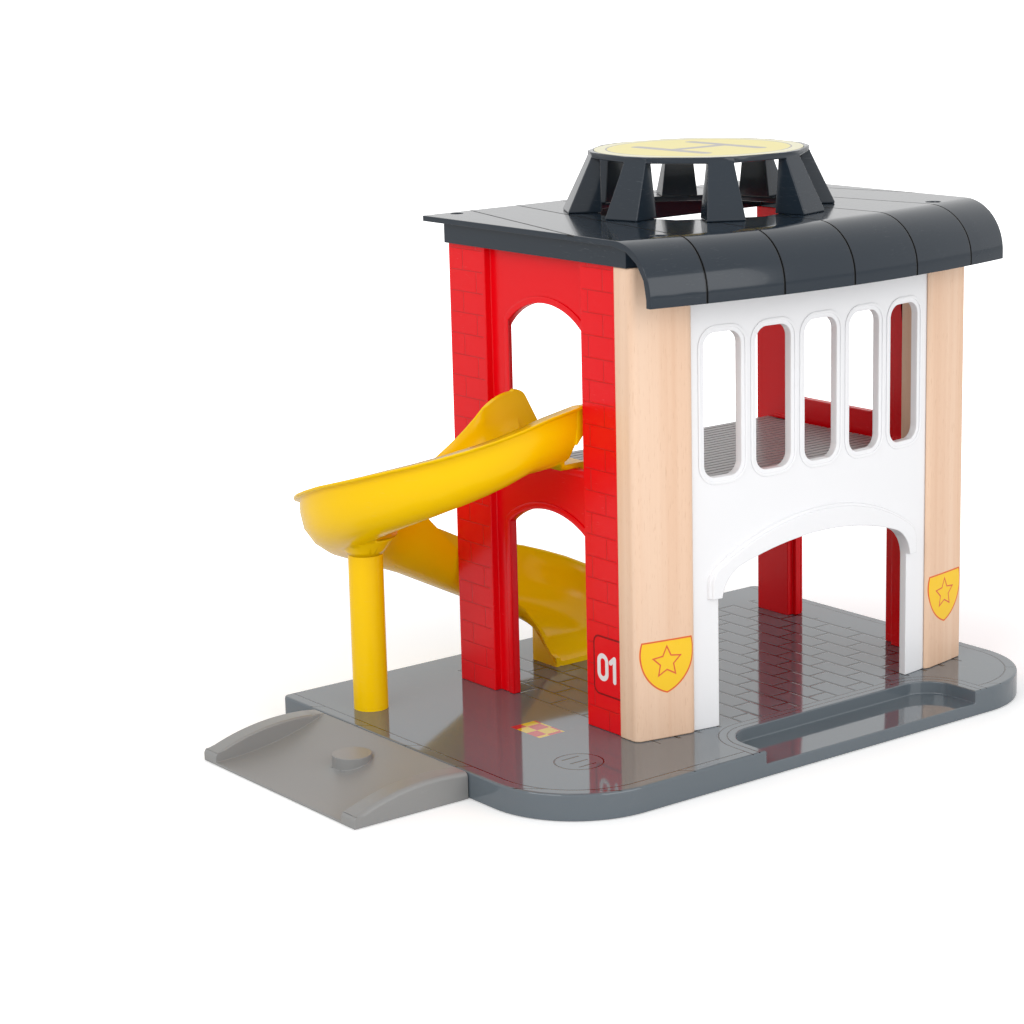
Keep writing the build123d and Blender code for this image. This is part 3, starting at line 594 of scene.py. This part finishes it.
def pick(thing):
    """Makes a piece the only one that is selected, and the active one."""
    bpy.ops.object.select_all(action="DESELECT")
    thing.hide_set(False)
    thing.select_set(True)
    bpy.context.view_layer.objects.active = thing


def choose(thing, kind, wanted):
    """In edit mode, selects only the points, edges or faces that a test says yes to."""
    bpy.ops.mesh.select_mode(type=kind)
    bpy.ops.mesh.select_all(action="DESELECT")
    bpy.ops.object.mode_set(mode="OBJECT")
    mesh = thing.data
    for each in {"VERT": mesh.vertices, "EDGE": mesh.edges, "FACE": mesh.polygons}[kind]:
        each.select = wanted(each)
    bpy.ops.object.mode_set(mode="EDIT")


def body_of_node(node):
    for body, nodes in frame["record"]["behaviour"]["bodies"].items():
        if node in nodes:
            return body


def round_edges(thing, width, **settings):
    """Rounds a piece's edges in two steps."""
    rounding = thing.modifiers.new("rounding", "BEVEL")
    rounding.width = width
    rounding.segments = 2
    for name, value in settings.items():
        setattr(rounding, name, value)
    bpy.ops.object.modifier_apply(modifier="rounding")


def finish_shading(thing, smooth):
    """Smooth shading up to an angle, with flat faces kept truly flat."""
    bpy.ops.object.shade_smooth_by_angle(angle=math.radians(smooth))
    weights = thing.modifiers.new("flat_faces", "WEIGHTED_NORMAL")
    weights.mode = "FACE_AREA"
    weights.weight = 100
    weights.keep_sharp = True
    bpy.ops.object.modifier_apply(modifier="flat_faces")


def softened(node, edge, smooth=38.0, first=None):
    """A node with its doubles merged and its sharp edges rounded, which then stands for the node.

    first, when given, reshapes the piece or rounds the edges that need their own radius, in edit mode.
    """
    doubles, flat, sharp = 0.004 * mm, 0.2, 32.0
    thing = frame["nodes"][node].copy()
    thing.data = thing.data.copy()
    thing.name = node + "_moulding"
    bpy.context.scene.collection.objects.link(thing)
    pick(thing)
    bpy.ops.object.mode_set(mode="EDIT")
    bpy.ops.mesh.select_all(action="SELECT")
    bpy.ops.mesh.remove_doubles(threshold=doubles)
    bpy.ops.mesh.dissolve_limited(angle_limit=math.radians(flat))
    if first:
        first(thing)
    bpy.ops.object.mode_set(mode="OBJECT")
    if edge:
        round_edges(thing, edge, limit_method="ANGLE", angle_limit=math.radians(sharp),
                    use_clamp_overlap=False, miter_outer="MITER_ARC")
    finish_shading(thing, smooth)
    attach(thing, body_of_node(node))
    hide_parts(node)
    return thing


def choose_edges(thing, wanted):
    """Selects the edges that answer to a test on their two ends, in the building's frame."""
    def ends_fit(edge):
        return wanted(*[thing.data.vertices[number].co - site for number in edge.vertices])

    choose(thing, "EDGE", ends_fit)


def round_kerbs(thing):
    """The long upper edges of the ramp's kerbs: a wide radius outside, a smaller one towards the road."""
    near, least_length = 0.02 * mm, 1.0 * mm
    outer, inner = (1.9 * mm, -8.9 * mm), (0.9 * mm, -5.6 * mm)
    road_end, crest_end, crest_drop, crest_slope = -157.5 * mm, 165.0 * mm, -3.2 * mm, 0.155
    kerbs = ((15.0 * mm, outer), (117.0 * mm, outer), (23.5 * mm, inner), (108.5 * mm, inner))
    for line, (radius, lowest) in kerbs:
        towards_road = radius < outer[0]

        def along(a, b):
            on_line = abs(a.y - line) < near and abs(b.y - line) < near
            if not on_line or min(a.z, b.z) <= lowest or abs(a.x - b.x) <= least_length:
                return False
            if not towards_road:
                return True
            crest = crest_drop - crest_slope * (-(a.x + b.x) / 2 - crest_end)
            return max(a.x, b.x) < road_end and a.z + b.z > 2 * crest

        choose_edges(thing, along)
        bpy.ops.mesh.bevel(offset=radius, segments=4, affect="EDGES")


softened("base_plate", 0.5 * mm)
softened("left_post", 0.6 * mm)
softened("right_post", 0.6 * mm)
softened("facade", 0.4 * mm)


# Both openings of the left wall reach further back than the solid's: how much wider they get, and the Y in
# millimetres that stays where it is
left_stretch = 49.4 / 42.0
left_start = 30.0


def widen_left_openings(thing):
    """Draws the openings of the left wall out towards the back, from the pilaster on."""
    face_in, face_out, opening_back = 78.9, 82.1, 72.1
    upper_low, upper_high, lower_high = 96.9, 157.6, 78.6

    def on_opening(point):
        x, y, z = (point.co - site) / mm
        through = face_in < -x < face_out and left_start < y < opening_back
        return through and (upper_low < z < upper_high or z < lower_high)

    choose(thing, "VERT", on_opening)
    bpy.ops.transform.resize(value=(1, left_stretch, 1),
                             center_override=site + Vector((0, left_start, 0)) * mm)


softened("left_side_wall", 0.4 * mm, first=widen_left_openings)
softened("right_side_wall", 0.4 * mm)
roof = softened("roof", 0.3 * mm)
softened("helipad_frame", 0.35 * mm)
softened("ramp", 0.3 * mm, first=round_kerbs)


def round_leaf(thing):
    """The tip of the chute's entry leaf: its small step is levelled and the slope behind it drawn into a round."""
    tip, foot, cuts, rise, near = -88.0, -101.0, 5, 1.1, 0.3
    leaf_front, leaf_back, leaf_low, slope_high = 67.9, 70.3, 117.0, 124.5
    step_low, step_high, step = 123.6, 124.2, 0.6

    def on_leaf(point):
        return leaf_front < point.y / mm < leaf_back and point.z / mm > leaf_low

    def slope(a, b):
        far, close = sorted((a.x / mm, b.x / mm))
        return on_leaf(a) and on_leaf(b) and abs(far - foot) < near and abs(close - tip) < near

    def lift(x, low, high, move):
        def wanted(point):
            place = point.co - site
            return on_leaf(place) and abs(place.x / mm - x) < near and low < place.z / mm < high

        choose(thing, "VERT", wanted)
        bpy.ops.transform.translate(value=(0, 0, move * mm))

    choose_edges(thing, slope)
    bpy.ops.mesh.subdivide(number_cuts=cuts)
    for number in range(1, cuts + 1):
        share = number / (cuts + 1)
        lift(foot + (tip - foot) * share, leaf_low, slope_high, 4 * rise * share * (1 - share))
    lift(tip, step_low, step_high, -step)


softened("slide_chute", 0, smooth=50.0, first=round_leaf)


# Seams of the roof and the start of the slide

def cut_roof_seams(thing):
    """Narrow grooves over the eave and the roof's top, all towards the middle of the front's curve."""
    half, depth, roof_top, smooth = 0.27 * mm, 0.4 * mm, 185.9 * mm, 38
    facing_up, facing_out, strip_share = 0.9, -0.2, 0.9
    centre = site + Vector((0, front_middle, 0)) * mm
    ways = []
    for number in range(-3, 4):
        turn = math.radians(seam_step * number)
        ways.append(Vector((math.cos(turn), math.sin(turn), 0)))
    pick(thing)
    bpy.ops.object.mode_set(mode="EDIT")
    for across in ways:
        for side in (-half, half):
            bpy.ops.mesh.select_all(action="SELECT")
            bpy.ops.mesh.bisect(plane_co=centre + across * side, plane_no=across)

    def in_groove(face):
        reach = face.center - centre
        outward = Vector((reach.x, reach.y, 0)).normalized()
        high = (face.center - site).z
        over_eave = Vector((reach.xy.length - eave_reach * mm, high - eave_height * mm))
        outside = over_eave.length > eave_radius * mm and face.normal.dot(outward) > facing_out
        on_top = high > roof_top and face.normal.z > facing_up
        in_strip = any(abs(reach.dot(across)) < half * strip_share for across in ways)
        return in_strip and (outside if over_eave.x > 0 else on_top)

    choose(thing, "FACE", in_groove)
    bpy.ops.mesh.extrude_region_shrink_fatten(TRANSFORM_OT_shrink_fatten={"value": -depth})
    bpy.ops.object.mode_set(mode="OBJECT")
    bpy.ops.mesh.customdata_custom_splitnormals_clear()
    finish_shading(thing, smooth)


def make_slide_start():
    """The end of the chute's outer wall, which reaches through the arch to the panel."""
    size, middle = Vector((4.6, 2.0, 8.2)) * mm, Vector((-83.75, 32.8, 117.0)) * mm
    toe_drop, lip_height, lip_reach, lip_low = 5.5 * mm, 1.2 * mm, 1.5 * mm, 121.2 * mm
    toe_high, toe_end, facing, edge, smooth = 114 * mm, -85 * mm, 0.9, 0.25 * mm, 40
    bpy.ops.object.select_all(action="DESELECT")
    bpy.ops.mesh.primitive_cube_add(size=1)
    thing = bpy.context.object
    thing.name = "slide_start"
    bpy.ops.object.mode_set(mode="EDIT")
    bpy.ops.mesh.select_all(action="SELECT")
    bpy.ops.transform.resize(value=size)
    bpy.ops.transform.translate(value=site + middle)

    def at_toe(point):
        place = point.co - site
        return place.z < toe_high and place.x < toe_end

    def under_lip(face):
        return face.normal.y < -facing and (face.center - site).z > lip_low

    choose(thing, "VERT", at_toe)
    bpy.ops.transform.translate(value=(0, 0, -toe_drop))
    choose(thing, "FACE", lambda face: face.normal.z > facing)
    bpy.ops.mesh.extrude_region_move(TRANSFORM_OT_translate={"value": (0, 0, lip_height)})
    choose(thing, "FACE", under_lip)
    bpy.ops.mesh.extrude_region_move(TRANSFORM_OT_translate={"value": (0, -lip_reach, 0)})
    bpy.ops.object.mode_set(mode="OBJECT")
    round_edges(thing, edge)
    bpy.ops.object.shade_smooth_by_angle(angle=math.radians(smooth))
    thing.data.materials.append(finishes[slot_of["slide_chute"]])
    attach(thing, body_of_node("slide_chute"))


cut_roof_seams(roof)
make_slide_start()


# Raised rims round the windows and the side walls' openings

def start_round_rectangle(width, tall, corner):
    """A flat rectangle with round corners, lying in X and Y about the origin, left in edit mode."""
    bpy.ops.object.select_all(action="DESELECT")
    bpy.ops.mesh.primitive_plane_add(size=1)
    bpy.ops.object.mode_set(mode="EDIT")
    bpy.ops.mesh.select_all(action="SELECT")
    bpy.ops.transform.resize(value=(width, tall, 1))
    bpy.ops.mesh.bevel(offset=corner, segments=6, affect="VERTICES")
    return bpy.context.object


def start_arch(half, radius, foot):
    """A flat arch: an arc about the origin on two straight legs down to the foot, left in edit mode."""
    near_leg, on_leg, corners, flat = 1.2 * mm, 0.001 * mm, 120, 0.1
    bpy.ops.object.select_all(action="DESELECT")
    bpy.ops.mesh.primitive_circle_add(vertices=corners, radius=radius, fill_type="NGON")
    thing = bpy.context.object
    bpy.ops.object.mode_set(mode="EDIT")
    for side in (1, -1):
        bpy.ops.mesh.select_all(action="SELECT")
        bpy.ops.mesh.bisect(plane_co=(side * half, 0, 0), plane_no=(side, 0, 0), clear_outer=True)
    choose(thing, "VERT", lambda point: point.co.y < 0)
    bpy.ops.transform.resize(value=(1, 0, 1), center_override=(0, foot, 0))
    choose(thing, "VERT", lambda point: half - near_leg < abs(point.co.x) < half - on_leg)
    bpy.ops.mesh.dissolve_verts()
    bpy.ops.mesh.select_all(action="SELECT")
    bpy.ops.mesh.dissolve_limited(angle_limit=math.radians(flat))
    return thing


def finish_rim(thing, width, height, where, cut=None):
    """Turns the flat outline into a low rim of this width and puts it in its place on the wall."""
    round_share, sharp, smooth = 0.6, 60, 40
    bpy.ops.mesh.select_mode(type="FACE")
    bpy.ops.mesh.select_all(action="SELECT")
    bpy.ops.mesh.normals_make_consistent(inside=False)
    bpy.ops.mesh.inset(thickness=width)
    bpy.ops.mesh.delete(type="FACE")
    bpy.ops.mesh.select_all(action="SELECT")
    bpy.ops.mesh.extrude_region_move(TRANSFORM_OT_translate={"value": (0, 0, height)})
    bpy.ops.mesh.select_all(action="SELECT")
    bpy.ops.mesh.normals_make_consistent(inside=False)
    if cut is not None:
        bpy.ops.mesh.bisect(plane_co=(0, cut, 0), plane_no=(0, 1, 0), clear_inner=True, use_fill=True)
    bpy.ops.object.mode_set(mode="OBJECT")
    round_edges(thing, height * round_share, limit_method="ANGLE", angle_limit=math.radians(sharp))
    thing.matrix_world = where
    bpy.ops.object.transform_apply(location=True, rotation=True, scale=True)
    bpy.ops.object.shade_smooth_by_angle(angle=math.radians(smooth))
    return thing


def named_rims(name, rims, node):
    """Joins rims into one piece of a node's material, fixed to the building."""
    bpy.ops.object.select_all(action="DESELECT")
    for thing in rims:
        thing.select_set(True)
    bpy.context.view_layer.objects.active = rims[0]
    bpy.ops.object.join()
    thing = bpy.context.object
    thing.name = name
    thing.data.name = name
    thing.data.materials.clear()
    thing.data.materials.append(finishes[slot_of[node]])
    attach(thing, body_of_node(node))


def upright(x_way, out_way, x, y, z):
    """The place of a flat outline stood up on a wall, from the building's frame."""
    x_way, out_way = Vector(x_way), Vector(out_way)
    turned = Matrix((x_way, (0, 0, 1), out_way)).transposed().to_4x4()
    return Matrix.Translation(site + Vector((x, y, z)) * mm) @ turned


def make_window_frames():
    """A thin raised frame just outside each of the five windows of the curved front."""
    gap, width, height, sunk = 1.6, 1.2, 0.5, 0.15
    window_width, window_tall, window_corner, window_sill, window_pitch = 16.5, 53.8, 5, 95.7, 23.4
    reach = gap + width
    rims = []
    for number in range(5):
        x = (number - 2) * window_pitch
        turn = math.asin(x / facade_radius)
        thing = start_round_rectangle((window_width + 2 * reach) * mm, (window_tall + 2 * reach) * mm,
                                      (window_corner + reach) * mm)
        where = upright((math.cos(turn), math.sin(turn), 0), (math.sin(turn), -math.cos(turn), 0),
                        x, front_middle - (facade_radius - sunk) * math.cos(turn), window_sill + window_tall / 2)
        rims.append(finish_rim(thing, width * mm, height * mm, where))
    named_rims("window_frames", rims, "facade")


def make_left_rims(width, height, face):
    """The two arches of the left wall, stretched as its openings are."""
    half = 21
    upper_radius, upper_legs, upper_middle = 25.5, 35.0, 132.03
    lower_radius, lower_foot, lower_middle, lower_cut = 30.2, -60, 48.3, -48.2

    def place(z):
        y = left_start + half * left_stretch
        return upright((0, -1, 0), (-1, 0, 0), -face, y, z) @ Matrix.Diagonal((left_stretch, 1, 1, 1))

    upper = start_arch((half + width) * mm, (upper_radius + width) * mm, -(upper_legs + width) * mm)
    upper = finish_rim(upper, width * mm, height * mm, place(upper_middle))
    lower = start_arch((half + width) * mm, (lower_radius + width) * mm, lower_foot * mm)
    lower = finish_rim(lower, width * mm, height * mm, place(lower_middle), cut=lower_cut * mm)
    named_rims("left_wall_rims", [upper, lower], "left_side_wall")


def make_right_rims(width, height, face):
    """The large window and the large arch of the right wall."""
    window_wide, window_tall, window_corner, window_y, window_z = 50, 61, 5, 67.0, 126.5
    rise, half, springs, arch_y, floor_gap, below_middle = 8.5, 27.0, 70.0, 63.0, 0.1, 20
    radius = (half**2 + rise**2) / (2 * rise)
    middle = springs + rise - radius

    def place(y, z):
        return upright((0, 1, 0), (1, 0, 0), face, y, z)

    window = start_round_rectangle((window_wide + 2 * width) * mm, (window_tall + 2 * width) * mm,
                                   (window_corner + width) * mm)
    window = finish_rim(window, width * mm, height * mm, place(window_y, window_z))
    arch = start_arch((half + width) * mm, (radius + width) * mm, -(radius + below_middle) * mm)
    arch = finish_rim(arch, width * mm, height * mm, place(arch_y, middle), cut=(floor_gap - middle) * mm)
    named_rims("right_wall_rims", [window, arch], "right_side_wall")


make_window_frames()
make_left_rims(width=2.6, height=0.55, face=82.0)
make_right_rims(width=2.6, height=0.55, face=82.0)


# Camera at the photograph's angle

def set_camera():
    turn, tilt, roll = math.radians(36.93), math.radians(13.09), math.radians(-1.47)
    stand = (-0.6432, -0.7532, 0.3108)
    focal_pixels, image_pixels, sensor = 2591.2, 1024, 36.0
    forward = Vector((math.sin(turn) * math.cos(tilt), math.cos(turn) * math.cos(tilt), -math.sin(tilt)))
    level = Vector((math.cos(turn), -math.sin(turn), 0))
    straight_up = level.cross(forward)
    right = math.cos(roll) * level + math.sin(roll) * straight_up
    up = -math.sin(roll) * level + math.cos(roll) * straight_up
    data = bpy.data.cameras.new("camera")
    data.sensor_width = sensor
    data.lens = focal_pixels / image_pixels * sensor
    data.clip_end = 60.0
    camera = bpy.data.objects.new("camera", data)
    bpy.context.scene.collection.objects.link(camera)
    camera.matrix_world = Matrix((
        (right.x, up.x, -forward.x, stand[0]),
        (right.y, up.y, -forward.y, stand[1]),
        (right.z, up.z, -forward.z, stand[2]),
        (0, 0, 0, 1)))
    bpy.context.scene.camera = camera


# Floor, world and soft lamps

def set_floor():
    """A pale floor that turns to plain white away from the object, as the camera sees it."""
    size, drop = 60, 0.2 * mm
    glow_start, glow_end, least_glow, full_glow = 0.14, 0.45, 0.3, 1.0
    bpy.ops.mesh.primitive_plane_add(size=size, location=(0, 0, -drop))
    floor = bpy.context.object
    floor.name = "studio_floor"
    material, w, shader, place = start_finish("studio_floor")
    shader.inputs["Base Color"].default_value = (0.9, 0.9, 0.9, 1)
    shader.inputs["Roughness"].default_value = 0.6
    glow = w.stretch(w.length(place), glow_start, glow_end, least_glow, full_glow, smooth=True)
    ray = w.add("ShaderNodeLightPath")
    w.feed(w.math("MULTIPLY", glow, ray.outputs["Is Camera Ray"]), shader.inputs["Emission Strength"])
    shader.inputs["Emission Color"].default_value = (1, 1, 1, 1)
    floor.data.materials.append(material)


def set_world(level):
    """A white world that lights the object at this level and is full white where it is seen or mirrored."""
    world = bpy.data.worlds.new("studio")
    bpy.context.scene.world = world
    world.use_nodes = True
    w = Wiring(world.node_tree)
    background = world.node_tree.nodes["Background"]
    ray = w.add("ShaderNodeLightPath")
    seen = w.either(ray.outputs["Is Camera Ray"], ray.outputs["Is Glossy Ray"], ray.outputs["Is Transmission Ray"])
    w.feed(w.stretch(seen, 0.0, 1.0, level, 1.0), background.inputs["Strength"])
    background.inputs["Color"].default_value = (1, 1, 1, 1)


def soft_lamp(name, place, aim, size, power):
    data = bpy.data.lights.new(name, "AREA")
    data.shape = "RECTANGLE"
    data.size, data.size_y = size
    data.energy = power
    lamp = bpy.data.objects.new(name, data)
    bpy.context.scene.collection.objects.link(lamp)
    lamp.location = place
    lamp.rotation_euler = (Vector(aim) - Vector(place)).to_track_quat("-Z", "Y").to_euler()


set_camera()
set_floor()
set_world(level=0.69)
soft_lamp("front_lamp", place=(0.35, -2.2, 0.85), aim=(0, 0, 0.1), size=(1.8, 1.4), power=15)
soft_lamp("left_lamp", place=(-2.0, -0.5, 1.3), aim=(0, 0, 0.08), size=(1.4, 1.2), power=16)
bpy.context.scene.view_settings.view_transform = "Standard"
